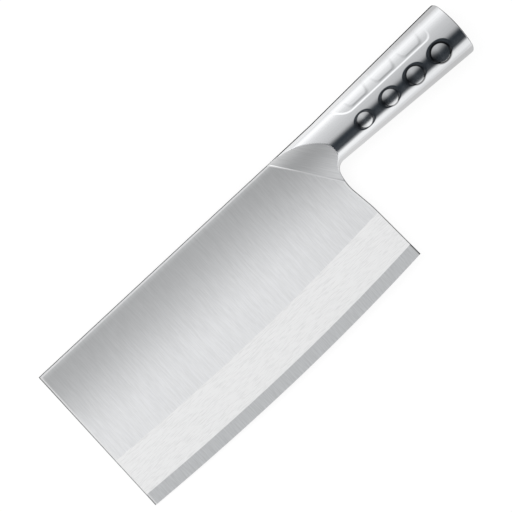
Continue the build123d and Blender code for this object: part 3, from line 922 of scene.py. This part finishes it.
def dome_tree(material):
    """Geometry Nodes that press the grip domes, each in its dish, into the handle's skin."""
    tree = bpy.data.node_groups.new("press_grip_domes", "GeometryNodeTree")
    tree.is_modifier = True
    face = tree.interface
    face.new_socket("Geometry", in_out="OUTPUT", socket_type="NodeSocketGeometry")
    face.new_socket("Geometry", in_out="INPUT", socket_type="NodeSocketGeometry")
    names = list(DomeSizes.__annotations__)
    identifiers = {}
    for name in names:
        kind = "NodeSocketInt" if name == "count" else "NodeSocketFloat"
        socket = face.new_socket(name, in_out="INPUT", socket_type=kind)
        identifiers[socket.identifier] = getattr(settings().domes, name)
    inputs = tree.nodes.new("NodeGroupInput")
    size = {name: Wire(tree, inputs.outputs[name]) for name in names}

    def field(name, kind="FLOAT"):
        """What the skin's mesh carries at each point."""
        return add_node(tree, "GeometryNodeInputNamedAttribute", {"Name": name}, data_type=kind)

    def grown(name):
        """A size of the nearest dome, between those of the first and the last."""
        return part.mix(size["first_" + name], size["last_" + name])

    # The nearest dome, and how far a point lies from its middle
    along, across = field("along"), field("across")
    index = ((along - size["start"]) / size["pitch"]).maths("ROUND").most(0).least(size["count"] - 1)
    part = index / (size["count"] - 1)
    radius = grown("radius")
    ahead = along - size["start"] - index * size["pitch"]
    aside = across - grown("offset")
    distance = (ahead * ahead + aside * aside).maths("SQRT")
    from_foot = distance - radius

    # A round cap on the curved skin, which leans, with a short wall past its foot
    slope, lean = grown("slope"), grown("lean").maths("TANGENT")
    bulge = size["skin_radius"] * 2
    depth = grown("margin") + lean * radius + radius * radius / bulge
    sphere = radius / slope.maths("SINE")
    within = distance.least(radius)
    cap = (sphere * sphere - within * within).maths("SQRT") - sphere * slope.maths("COSINE")
    beside = aside.most(-radius).least(radius)
    dome = cap - from_foot.most(0) * size["wall_slope"].maths("TANGENT") - depth
    dome = dome + lean * beside + beside * beside / bulge

    # The dish falls from the skin to the cap's foot
    foot = aside * radius / distance.most(radius / 2)
    lip = (depth - lean * foot - foot * foot / bulge).most(0)
    width = lip * size["dish_curve"] / size["dish_slope"].maths("TANGENT")
    fall = (1 - from_foot / width.least(size["pitch"] / 2 - radius)).most(0)
    pressed = dome.maths("SMOOTH_MAX", -(lip * fall ** size["dish_curve"]), size["foot_softness"])

    # Painted shade: darker in a ring round the foot, and on the sides towards the neck and the butt
    outside = 1 - from_foot / grown("crease_reach")
    ring = (from_foot / size["crease_inside"] + 1).least(outside * size["crease_fullness"])
    ring = ring.most(0).least(1) * grown("crease")
    ended = 1 - (from_foot / radius).most(0) * size["shade_reach"]
    spread = (1 - aside * aside / (radius * radius)).most(0) * ended.most(0)
    lengthwise = ahead / radius * size["shade_slope"]
    neck_side = (-lengthwise - size["shade_start"]).most(0).least(1) * size["neck_shade"]
    butt_side = (lengthwise - size["shade_start"]).most(0).least(1) * size["butt_shade"]
    crease = ring.most(spread * neck_side.most(butt_side))
    inside = 1 - distance.rises(radius * size["dull_start"], radius)
    inside = inside * part.mix(1, size["last_dull"])

    normal = field("skin_normal", "FLOAT_VECTOR")
    offset = normal.node("ShaderNodeVectorMath", {0: normal, "Scale": pressed}, operation="SCALE")
    shaped = {"Geometry": Wire(tree, inputs.outputs["Geometry"]), "Offset": offset}
    made = add_node(tree, "GeometryNodeSetPosition", shaped)
    # Stores the painted shade, and how dull each dome's top is
    for name, value in (("crease", crease), ("dome", inside)):
        marked = {"Geometry": made, "Name": name, "Value": value}
        made = made.node("GeometryNodeStoreNamedAttribute", marked, data_type="FLOAT", domain="POINT")
    real = made.node("GeometryNodeRealizeInstances", {"Geometry": made})
    done = real.node("GeometryNodeSetMaterial", {"Geometry": real, "Material": material})
    add_node(tree, "NodeGroupOutput", {0: done})
    return tree, identifiers


def pressed_skin(stations, material):
    """The handle's skin with its panel and domes, and its marks, one loop at each station."""
    skin = handle_loops(stations)
    bare = grid_normals(skin, around=True)
    start = knife_start()
    relief, wall_shade = panel_relief(skin[..., 0] - start[0], start[1] - skin[..., 1], bare)

    # The way round each loop, from the crown line to the finger side
    steps = np.linalg.norm(np.diff(skin[:, : HALF + 1], axis=1), axis=2)
    travel = np.pad(np.cumsum(steps, axis=1), ((0, 0), (1, 0)))
    across = travel - travel[:, QUARTER : QUARTER + 1]

    mesh = bpy.data.meshes.new("handle_skin")
    sunk = (skin + bare * relief[..., None]).reshape(-1, 3)
    mesh.from_pydata(sunk.tolist(), [], grid_faces(len(stations), LOOP, around=True).tolist())
    add_mark(mesh, "along", skin[..., 0] - start[0] - neck_along())
    add_mark(mesh, "across", np.concatenate([across, across[:, -2:0:-1]], axis=1))
    add_mark(mesh, "skin_normal", bare, "FLOAT_VECTOR")
    blank = link("handle_skin", mesh)
    modifier = blank.modifiers.new("Domes", "NODES")
    modifier.node_group, values = dome_tree(material)
    for identifier, value in values.items():
        modifier[identifier] = value
    evaluated = blank.evaluated_get(bpy.context.evaluated_depsgraph_get())
    pressed = bpy.data.meshes.new_from_object(evaluated)
    points = np.zeros(skin.size)
    pressed.vertices.foreach_get("co", points)
    marks = {}
    for name in ("crease", "dome"):
        marks[name] = np.zeros(skin[..., 0].size)
        pressed.attributes[name].data.foreach_get("value", marks[name])
        marks[name] = marks[name].reshape(skin.shape[:2])
    # The pads' painted wall shade joins the domes' painted shade
    marks["crease"] = np.maximum(marks["crease"], wall_shade)
    blank.modifiers.clear()
    bpy.data.objects.remove(blank)
    bpy.data.meshes.remove(mesh)
    bpy.data.meshes.remove(pressed)
    return points.reshape(skin.shape), marks


def make_handle(material):
    """The two pressed shells and the two seams between them, all cut from one skin."""
    handle = settings().handle
    start = neck_along() + handle.neck_joint_reach + handle.bead_width / 2
    end = overall_length() - handle.cap_joint_reach - handle.bead_width / 2
    steps = BACK_STEP * round((end - start) / handle.grid_step / BACK_STEP)
    skin, marks = pressed_skin(np.linspace(start, end, steps + 1), material)
    normals = grid_normals(skin, around=True)

    # A seam takes as many columns each side of the middle plane as its half width holds
    height = skin[0, :QUARTER, 2] - knife_start()[2]
    bead = BACK_STEP * max(1, round(int(np.searchsorted(height, handle.bead_width / 2)) / BACK_STEP))
    spans = {
        "handle_shell_front": (bead, HALF - bead, handle.wall),
        "handle_shell_back": (HALF + bead, LOOP - bead, handle.wall),
        "seam_weld_spine": (-bead, bead, handle.bead_depth),
        "seam_weld_belly": (HALF - bead, HALF + bead, handle.bead_depth),
    }
    for name, (first, last, depth) in spans.items():
        columns = np.arange(first, last + 1) % LOOP
        outer, outward = skin[:, columns], normals[:, columns]
        inner = (outer - depth * outward)[::BACK_STEP, ::BACK_STEP]
        hidden = (0, inner[..., 0].size)
        kept = {mark: np.pad(values[:, columns].ravel(), hidden) for mark, values in marks.items()}
        make_plate(name, outer, inner, outward, material, "handle_steel", kept)


def make_weld_rings(material):
    """The weld rings in front of the shells and behind them, flush with the skin."""
    handle = settings().handle
    half = handle.bead_width / 2
    places = {
        "neck_weld": neck_along() + handle.neck_joint_reach,
        "cap_weld": overall_length() - handle.cap_joint_reach,
    }
    for name, place in places.items():
        outer = handle_loops(np.linspace(place - half, place + half, 6))
        normals = grid_normals(outer, around=True)
        points = np.concatenate([outer, (outer - handle.bead_depth * normals)[::-1]])
        faces = grid_faces(len(points) + 1, LOOP, around=True) % (len(points) * LOOP)
        shown = (len(outer) - 1) * LOOP
        make_piece(name, points, normals, [faces[:shown]], [faces[shown:]], material, "handle_steel")


def make_butt_cap(material):
    """The butt cap: the last of the taper, a rounded rim and a shallow domed end."""
    handle = settings().handle
    _, (up, out), (normal_up, normal_out) = oval_loops()
    end = cap_high.x - knife_start()[0]
    first = end - handle.butt_reach
    rim, drop = handle.butt_rim_width, handle.butt_rim_drop
    centre = handle.butt_height / 2 - handle.butt_rise

    def end_face(up, out):
        """Where the domed end lies."""
        inside = 1 - (handle.butt_height / 2 - np.abs(up)) / handle.butt_corner_width
        corner = handle.butt_corner_reach * (1 - np.sqrt(1 - inside.clip(0) ** 2))
        return end - up**2 / handle.butt_dome_radius / 2 - out**2 / handle.butt_cross_radius / 2 - corner

    def loop(inset, along):
        """The butt's oval, drawn in by an inset."""
        return in_row_frame(along, centre - (up - inset * normal_up), out - inset * normal_out)

    edge_up, edge_out = up - drop * normal_up, out - drop * normal_out
    edge_along = end_face(edge_up, edge_out)
    taper = handle_loops(np.linspace(end - handle.cap_joint_reach + handle.bead_width / 2, first, 9))
    straight = [loop(0, first + k * (edge_along - rim - first)) for k in np.linspace(0, 1, 16)[1:]]
    turns = np.linspace(0, pi / 2, 20)[1:]
    rounded = [loop(drop * (1 - cos(k)), edge_along - rim + rim * sin(k)) for k in turns]
    domed = []
    for shrink in np.linspace(1, 0.02, 34)[1:]:
        inner_up, inner_out = shrink * edge_up, shrink * edge_out
        domed.append(in_row_frame(end_face(inner_up, inner_out), centre - inner_up, inner_out))
    outer = np.concatenate([taper, straight, rounded, domed])
    rows = len(outer)
    pole = in_row_frame(np.array([end]), centre, 0.0)
    points = np.concatenate([outer.reshape(-1, 3), pole])
    normals = np.concatenate([grid_normals(outer, around=True).reshape(-1, 3), [[1.0, 0.0, 0.0]]])
    ring = (rows - 1) * LOOP + np.arange(LOOP)
    fan = np.stack([ring, np.roll(ring, -1), np.full(LOOP, rows * LOOP)], axis=1)
    smooth = [grid_faces(rows, LOOP, around=True), fan]
    # Painted shade on the rounded rim: a dark line along the butt's end
    shade = np.zeros(len(points))
    dark = (len(taper) + len(straight) + 2) * LOOP
    shade[dark : dark + len(rounded) * LOOP] = handle.butt_rim_shade
    marks = {"crease": shade}
    make_piece("butt_cap", points, normals, smooth, [zipper(0)], material, "handle_steel", marks)


# Finishes. Lines are given as (width, length), and fades as (from, to)

WIDE_LINES = (1.3 * MM, 26 * MM)
FINE_LINES = (0.5 * MM, 9 * MM)
BAND_LINES = (0.4 * MM, 6 * MM)
BEVEL_LINES = (0.8 * MM, 12 * MM)
CRESCENT_LINES = (0.45 * MM, 16 * MM)
POLISH_LINES = (0.5 * MM, 40 * MM)
# Fades of the blade's painted rim shade and highlight, and of the heel corner's painted shade
RIM_DARK = (0.4 * MM, 0.75 * MM)
RIM_LIGHT_IN = (0.5 * MM, 0.9 * MM)
RIM_LIGHT_OUT = (1.1 * MM, 2 * MM)
CORNER_DARK = (0.6 * MM, 1.8 * MM)
AT_HEEL = (-6 * MM, -3 * MM)
BAND_EDGE = 0.15 * MM

# Noise values between which a line goes from dark to light, and the settings of that noise
LINE_EDGES = (0.3, 0.7)
LINE_NOISE = {"Scale": 1, "Detail": 3, "Roughness": 0.6}

# How far the roughness varies: with the blade's lines, with the handle's lines, and in patches there
BLADE_VARIETY = 0.12
LINE_VARIETY = 0.03
PATCH_VARIETY = 0.05


def split(vector):
    """The three numbers of a vector's wire."""
    parts = vector.node("ShaderNodeSeparateXYZ", {"Vector": vector}).socket.node
    return [Wire(vector.tree, output) for output in parts.outputs]


def mark(place, name):
    """A number that the piece's mesh carries at each point."""
    return place.node("ShaderNodeAttribute", {}, "Fac", attribute_name=name)


def scaled(shade, scale):
    """A colour made lighter or darker by a wire."""
    return scale.node("ShaderNodeVectorMath", {0: shade, "Scale": scale}, operation="SCALE")


def grain(wire, contrast):
    """Brushed lines as a value round 1."""
    return wire.rises(*LINE_EDGES) * contrast + (1 - contrast / 2)


def streaks(place, size, turned=0):
    """Fine brushing as a value round one half: lines of a width and a length, turned in plan."""
    turned_place = place.node("ShaderNodeVectorRotate", {"Vector": place, "Angle": turned})
    scale = (1 / size[0], 1 / size[1], 1 / size[1])
    stretched = place.node("ShaderNodeVectorMath", {0: turned_place, 1: scale}, operation="MULTIPLY")
    return place.node("ShaderNodeTexNoise", {"Vector": stretched, **LINE_NOISE})


def bump(wire, distance):
    """A Bump node's normal from a height."""
    return wire.node("ShaderNodeBump", {"Height": wire, "Distance": distance})


def new_material(name):
    """A material and its coordinates."""
    material = bpy.data.materials.new(name)
    material.use_nodes = True
    return material, add_node(material.node_tree, "ShaderNodeTexCoord", output="Object")


def dressed(material, sockets):
    """A material with its surface's sockets filled."""
    fill(material.node_tree.nodes["Principled BSDF"], sockets)
    return material


def blade_material():
    """Brushed flat, ground band and bevel, told apart by the distance from the edge, with painted
    reflection, highlight and shade on them.
    """
    finish, blade = settings().finish, settings().blade
    material, place = new_material("blade_steel")
    names = ("from_edge", "from_spine", "from_rim")
    from_edge, from_spine, from_rim = (mark(place, name) for name in names)
    on_flat = from_edge.rises(blade.band_width - BAND_EDGE, blade.band_width + BAND_EDGE)
    on_bevel = 1 - from_edge.rises(blade.bevel_width - BAND_EDGE, blade.bevel_width + BAND_EDGE)
    wide, fine = streaks(place, WIDE_LINES), streaks(place, FINE_LINES)
    lines, cross = streaks(place, BAND_LINES, turned=pi / 2), streaks(place, BEVEL_LINES)

    past_heel = split(place)[0] - (knife_start()[0] + blade.length - settings().neck.hollow_inset)
    # Painted reflection: darker by the spine, brighter further down
    down = from_spine.rises(finish.dark_start, finish.dark_end)
    # Painted highlight along the spine
    near_spine = 1 - from_spine.rises(0, finish.spine_glow_reach)
    near_heel = past_heel.rises(-finish.heel_shade_reach, 0) * (1 - down * 0.5)
    shade = grain(wide * finish.wide_share + fine * (1 - finish.wide_share), finish.brushing)
    shade = shade + near_spine * finish.spine_glow - near_heel * finish.heel_shade
    flat = scaled(down.blend(finish.spine, finish.middle), shade)
    band = scaled(finish.band, grain(lines, finish.band_grain))
    bevel = scaled(finish.bevel, grain(cross, finish.bevel_grain))
    whole = on_flat.blend(on_bevel.blend(band, bevel), flat)

    # Painted highlight just inside the rim, painted dark reflection on the rim, darker still at the heel,
    # and painted shade in the bevel's corner there
    at_heel = past_heel.rises(*AT_HEEL)
    light = from_rim.rises(*RIM_LIGHT_IN) * (1 - from_rim.rises(*RIM_LIGHT_OUT)) * finish.rim_light
    rim = (1 - from_rim.rises(*RIM_DARK)) * (at_heel * finish.heel_rim_dark + finish.rim_dark)
    corner = (1 - from_rim.rises(*CORNER_DARK)) * on_bevel * at_heel * finish.corner_dark
    flat_roughness = finish.blade_roughness + (fine - 0.5) * BLADE_VARIETY
    low_roughness = on_bevel.mix(finish.band_roughness, finish.blade_roughness)
    sockets = {
        "Base Color": scaled(light.blend(whole, WHITE), (1 - rim) * (1 - corner)),
        "Metallic": finish.blade_metal,
        "Roughness": on_flat.mix(low_roughness, flat_roughness),
        "Normal": bump(on_flat.mix(on_bevel.mix(lines, cross), fine), finish.brush_depth),
    }
    return dressed(material, sockets)


def neck_material():
    """Polished steel, with brushed ground crescents where the mesh is marked as ground, and painted
    highlight and shade on the crescents, the joint's fillet and the outline.
    """
    finish = settings().finish
    material, place = new_material("neck_steel")
    ground, line = mark(place, "ground"), mark(place, "line") * finish.line
    brushed = streaks(place, CRESCENT_LINES, turned=settings().neck.slant_angle - pi / 2)
    # Painted shade and highlight on the crescents: a painted highlight near the spine, darker below it and
    # lighter towards the finger hollow
    from_spine = blade_high.y - split(place)[1]
    glow = (1 - from_spine / finish.crescent_glow).most(0)
    lighter = from_spine.rises(finish.crescent_start, finish.crescent_end)
    crescent = (glow * glow).blend(lighter.blend(finish.crescent, finish.crescent_low), finish.band)
    whole = ground.blend(finish.polish, scaled(crescent, grain(brushed, finish.brushing)))
    # Painted dark reflection along the outline, and the joint's painted highlight and shade
    outline = 1 - mark(place, "outline") * finish.rim_dark
    bright = line.most(0) * outline
    sockets = {
        "Base Color": bright.blend(scaled(whole, (line.least(0) + 1) * outline), WHITE),
        "Metallic": ground.mix(1.0, finish.crescent_metal) * (1 - bright),
        "Roughness": ground.mix(finish.polish_roughness, finish.crescent_roughness),
        "Normal": bump(brushed * ground, finish.brush_depth),
    }
    return dressed(material, sockets)


def handle_material():
    """Polished steel with faint lengthwise polishing lines, darkened by painted shade where the mesh marks
    it and towards the butt.
    """
    finish = settings().finish
    material, place = new_material("handle_steel")
    lines = streaks(place, POLISH_LINES, turned=pi / 2)
    patches = place.node("ShaderNodeTexNoise", {"Vector": place, "Scale": 60, "Detail": 2})
    roughness = mark(place, "dome").mix(finish.polish_roughness, finish.dome_roughness)
    # Painted shade: the polish darkens from the neck towards the butt
    to_butt = split(place)[0].rises(cad_high.x - settings().handle.length, cad_high.x)
    polished = scaled(to_butt.blend(finish.polish, finish.butt), grain(lines, finish.polish_grain))
    sockets = {
        "Base Color": scaled(polished, 1 - mark(place, "crease")),
        "Metallic": 1,
        "Roughness": roughness + (patches - 0.5) * PATCH_VARIETY + (lines - 0.5) * LINE_VARIETY,
        "Normal": bump(lines, finish.polish_depth),
    }
    return dressed(material, sockets)


# Studio

# Greys that polished steel reflects, by angle from the spine's horizon over the top to the edge's
OVERHEAD = (
    (-90, 0.72),
    (-70, 0.94),
    (-55, 1.05),
    (-42, 0.97),
    (-34, 0.76),
    (-26, 0.65),
    (-12, 0.57),
    (0, 0.5),
    (5, 0.37),
    (9, 0.18),
    (13, 0.05),
    (18, 0.024),
    (26, 0.04),
    (33, 0.05),
    (36.5, 0.25),
    (41, 0.84),
    (52, 0.9),
    (65, 0.88),
    (90, 0.64),
)

# Where the grey card starts to be lighter, and where it is lightest
CARD_FADE = (40 * MM, 400 * MM)
LAMP_PLACE = (-0.5, 0.7, 1.3)


def resting_plane():
    """Centre and normal of the plane that the knife lies on, from the hull of its CAD solids."""
    hull = bmesh.new()
    mass, moment = 0, Vector((0, 0, 0))
    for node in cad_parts.values():
        corners = [vertex.co.copy() for vertex in node.data.vertices]
        for corner in corners:
            hull.verts.new(corner)
        node.data.calc_loop_triangles()
        for triangle in node.data.loop_triangles:
            a, b, c = (corners[i] for i in triangle.vertices)
            volume = a.dot(b.cross(c)) / 6
            mass += volume
            moment += (a + b + c) * volume / 4
    bmesh.ops.convex_hull(hull, input=hull.verts)
    up = Vector((0, 0, 1))
    below, normal, _, _ = BVHTree.FromBMesh(hull).ray_cast(moment / mass - up, up)
    hull.free()
    return below, normal if normal.z > 0 else -normal


def flat_stage(name, corners, plane, lift=0):
    """A flat staged object from plan corners, laid on the resting plane, and its empty material's tree."""
    centre, normal = plane
    points = []
    for x, y in corners:
        drop = normal.xy.dot(Vector((x, y)) - centre.xy) / normal.z
        points.append((x, y, centre.z - drop + lift))
    mesh = bpy.data.meshes.new(name)
    mesh.from_pydata(points, [], [list(range(len(corners)))])
    material = bpy.data.materials.new(name)
    material.use_nodes = True
    material.node_tree.nodes.clear()
    mesh.materials.append(material)
    made = link(name, mesh)
    return made, material.node_tree


def wide_square():
    """The floor's corners."""
    half = settings().studio.floor_size / 2
    return (-half, -half), (half, -half), (half, half), (-half, half)


def make_floor(plane):
    """A pale floor that the camera sees as white, with the knife's soft shadow on it."""
    studio = settings().studio
    _, tree = flat_stage("floor", wide_square(), plane)
    matt = add_node(tree, "ShaderNodeBsdfDiffuse", {"Color": (studio.floor_grey,) * 3})
    bright = add_node(tree, "ShaderNodeEmission", {"Color": WHITE, "Strength": studio.floor_white})
    camera = add_node(tree, "ShaderNodeLightPath", output="Is Camera Ray")
    glossy = add_node(tree, "ShaderNodeLightPath", output="Is Glossy Ray")
    seen = camera.most(glossy) * studio.floor_plain
    mixed = add_node(tree, "ShaderNodeMixShader", {0: seen, 1: matt, 2: bright})
    add_node(tree, "ShaderNodeOutputMaterial", {"Surface": mixed})


def make_card(name, corners, plane, lift, shade):
    """A card over the floor that only reflections see, with a grey that may depend on the place."""
    card, tree = flat_stage(name, corners, plane, lift)
    for flag in ("camera", "diffuse", "shadow", "transmission", "volume_scatter"):
        setattr(card, f"visible_{flag}", False)
    grey = shade(add_node(tree, "ShaderNodeTexCoord", output="Object"))
    tint = add_node(tree, "ShaderNodeCombineXYZ", {0: grey, 1: grey, 2: grey})
    shine = add_node(tree, "ShaderNodeEmission", {"Color": tint})
    add_node(tree, "ShaderNodeOutputMaterial", {"Surface": shine})


def grey_shade(place):
    """The grey card's painted shade, standing for the floor's shadow beside the knife: lighter beside the
    neck than beside the butt, and lighter far away.
    """
    handle, studio = settings().handle, settings().studio
    x, y, _ = split(place)
    across = y - (blade_high.y - handle.neck_height / 2)
    away = across.maths("ABSOLUTE").rises(*CARD_FADE) * studio.grey_card_far
    neck = across.rises(0, handle.neck_height).mix(studio.grey_card_belly, studio.grey_card_spine)
    return x.rises(cad_high.x - handle.length, cad_high.x).mix(neck, studio.grey_card) + away


def black_shade(place):
    """The black card's shade, the same everywhere."""
    return settings().studio.black_card


def make_cards(plane):
    """A wide grey card under the knife and a black one along its spine, tip, heel and butt: painted shade
    that only reflections see.
    """
    blade, handle, studio = settings().blade, settings().handle, settings().studio
    left, spine, _ = knife_start()
    near, gap = studio.card_margin, studio.card_gap
    low, heel = spine - blade.depth, left + blade.length
    right, top = left + overall_length() + studio.end_margin, spine + handle.butt_rise
    joint = heel - settings().neck.slant_start_inset
    black = (
        (left - near, low),
        (heel, low),
        (heel, spine - handle.neck_height),
        (right, top - handle.butt_height),
        (right, top + studio.butt_margin),
        (joint, spine + studio.neck_margin),
        (joint, spine + near),
        (left - near, spine + near),
    )
    make_card("grey_card", wide_square(), plane, gap, grey_shade)
    make_card("black_card", black, plane, 2 * gap, black_shade)


def make_surroundings():
    """A studio as polished steel shows it: grey overhead, a black flag on the edge's side, white ends."""
    studio = settings().studio
    world = bpy.data.worlds.new("studio")
    world.use_nodes = True
    bpy.context.scene.world = world
    tree = world.node_tree
    tree.nodes.clear()
    x, y, z = split(add_node(tree, "ShaderNodeTexCoord", output="Generated"))
    to_edge = (-y).maths("ARCTAN2", z)
    to_end = x.maths("ABSOLUTE").maths("ARCTAN2", z)
    stops = [((angle + 90) / 180, (grey, grey + 0.006, grey + 0.013)) for angle, grey in OVERHEAD]
    shade = add_node(tree, "ShaderNodeValToRGB", {"Fac": to_edge / pi + 0.5}, stops=stops)
    soft = studio.flag_softness
    flag = to_edge.rises(studio.flag_start - soft, studio.flag_start + soft)
    flag = flag * (1 - to_edge.rises(studio.flag_end - soft, studio.flag_end + soft))
    flag = flag * (1 - to_end.rises(studio.flag_reach - soft, studio.flag_reach + soft))
    wall = to_end.rises(studio.wall_start, studio.wall_end) * (1 - flag)
    reflected = add_node(tree, "ShaderNodeBackground", {"Color": wall.blend(shade, (studio.wall,) * 3)})
    glossy = add_node(tree, "ShaderNodeLightPath", output="Is Glossy Ray")
    camera = add_node(tree, "ShaderNodeLightPath", output="Is Camera Ray")
    plain = {"Color": WHITE, "Strength": camera.mix(studio.fill, 1.0)}
    plain = add_node(tree, "ShaderNodeBackground", plain)
    mixed = add_node(tree, "ShaderNodeMixShader", {0: glossy, 1: plain, 2: reflected})
    add_node(tree, "ShaderNodeOutputWorld", {"Surface": mixed})


def make_light():
    """One soft lamp over the spine's side, for the shadow on the floor."""
    lamp = bpy.data.lights.new("soft_lamp", "AREA")
    lamp.energy = settings().studio.lamp_power
    lamp.size = settings().studio.lamp_size
    made = link("soft_lamp", lamp)
    made.location = LAMP_PLACE
    made.rotation_euler = made.location.to_track_quat("Z", "Y").to_euler()
    made.visible_glossy = False


def make_camera():
    """A long lens straight over the blade, turned so that the spine lies as it does in the picture."""
    studio = settings().studio
    camera = bpy.data.cameras.new("camera")
    camera.lens = studio.lens
    camera.sensor_width = studio.sensor
    camera.clip_start = 0.05
    camera.clip_end = 20
    cosine, sine = cos(studio.spine_angle), sin(studio.spine_angle)
    right = studio.image_size / 2 - studio.tip_x
    below = studio.image_size / 2 - studio.tip_y
    along = (right * cosine - below * sine + studio.tip_overlap) * studio.pixel
    down = (right * sine + below * cosine + studio.spine_overlap) * studio.pixel
    distance = studio.image_size * studio.pixel * studio.lens / studio.sensor
    made = link("camera", camera)
    made.location = in_row_frame(along, down, distance)
    made.rotation_euler = (0, 0, -studio.spine_angle)
    bpy.context.scene.camera = made


class BladeOperator(bpy.types.Operator):
    """Builds the blade with its ground band, bevel and chamfered rim"""

    bl_idname = "cleaver.blade"
    bl_label = "Blade"

    def execute(self, context):
        make_blade(blade_material())
        return {"FINISHED"}


class NeckOperator(bpy.types.Operator):
    """Builds the neck with its crescents, and the welds that join it to the blade"""

    bl_idname = "cleaver.neck"
    bl_label = "Neck"

    def execute(self, context):
        material = neck_material()
        make_bolster(material)
        make_blade_welds(material)
        return {"FINISHED"}


class HandleOperator(bpy.types.Operator):
    """Builds the two shells, their seams, the weld rings and the butt cap"""

    bl_idname = "cleaver.handle"
    bl_label = "Handle"

    def execute(self, context):
        material = handle_material()
        make_handle(material)
        make_weld_rings(material)
        make_butt_cap(material)
        return {"FINISHED"}


class StudioOperator(bpy.types.Operator):
    """Builds the floor, the surroundings, the lamp and the camera"""

    bl_idname = "cleaver.studio"
    bl_label = "Studio"

    def execute(self, context):
        plane = resting_plane()
        make_floor(plane)
        make_cards(plane)
        make_surroundings()
        make_light()
        make_camera()
        context.scene.view_settings.view_transform = "Standard"
        return {"FINISHED"}


OPERATORS = (BladeOperator, NeckOperator, HandleOperator, StudioOperator)


class CleaverPanel(bpy.types.Panel):
    """Lists the cleaver's pieces and their sizes"""

    bl_idname = "VIEW3D_PT_cleaver"
    bl_label = "Cleaver"
    bl_space_type = "VIEW_3D"
    bl_region_type = "UI"
    bl_category = "Cleaver"

    def draw(self, context):
        for operator in OPERATORS:
            self.layout.operator(operator.bl_idname)
        for group in CleaverSettings.__annotations__:
            box = self.layout.box()
            box.label(text=group.title())
            sizes = getattr(context.scene.cleaver, group)
            for name in type(sizes).__annotations__:
                box.prop(sizes, name)


GROUPS = (BladeSizes, NeckSizes, HandleSizes, PanelSizes, DomeSizes, SteelFinish, StudioSettings)
CLASSES = (*GROUPS, CleaverSettings, *OPERATORS, CleaverPanel)


def register():
    for each in CLASSES:
        bpy.utils.register_class(each)
    bpy.types.Scene.cleaver = PointerProperty(type=CleaverSettings)


def unregister():
    del bpy.types.Scene.cleaver
    for each in reversed(CLASSES):
        bpy.utils.unregister_class(each)


def main():
    """Builds everything."""
    register()
    bpy.ops.cleaver.blade()
    bpy.ops.cleaver.neck()
    bpy.ops.cleaver.handle()
    bpy.ops.cleaver.studio()


if __name__ == "__main__":
    main()
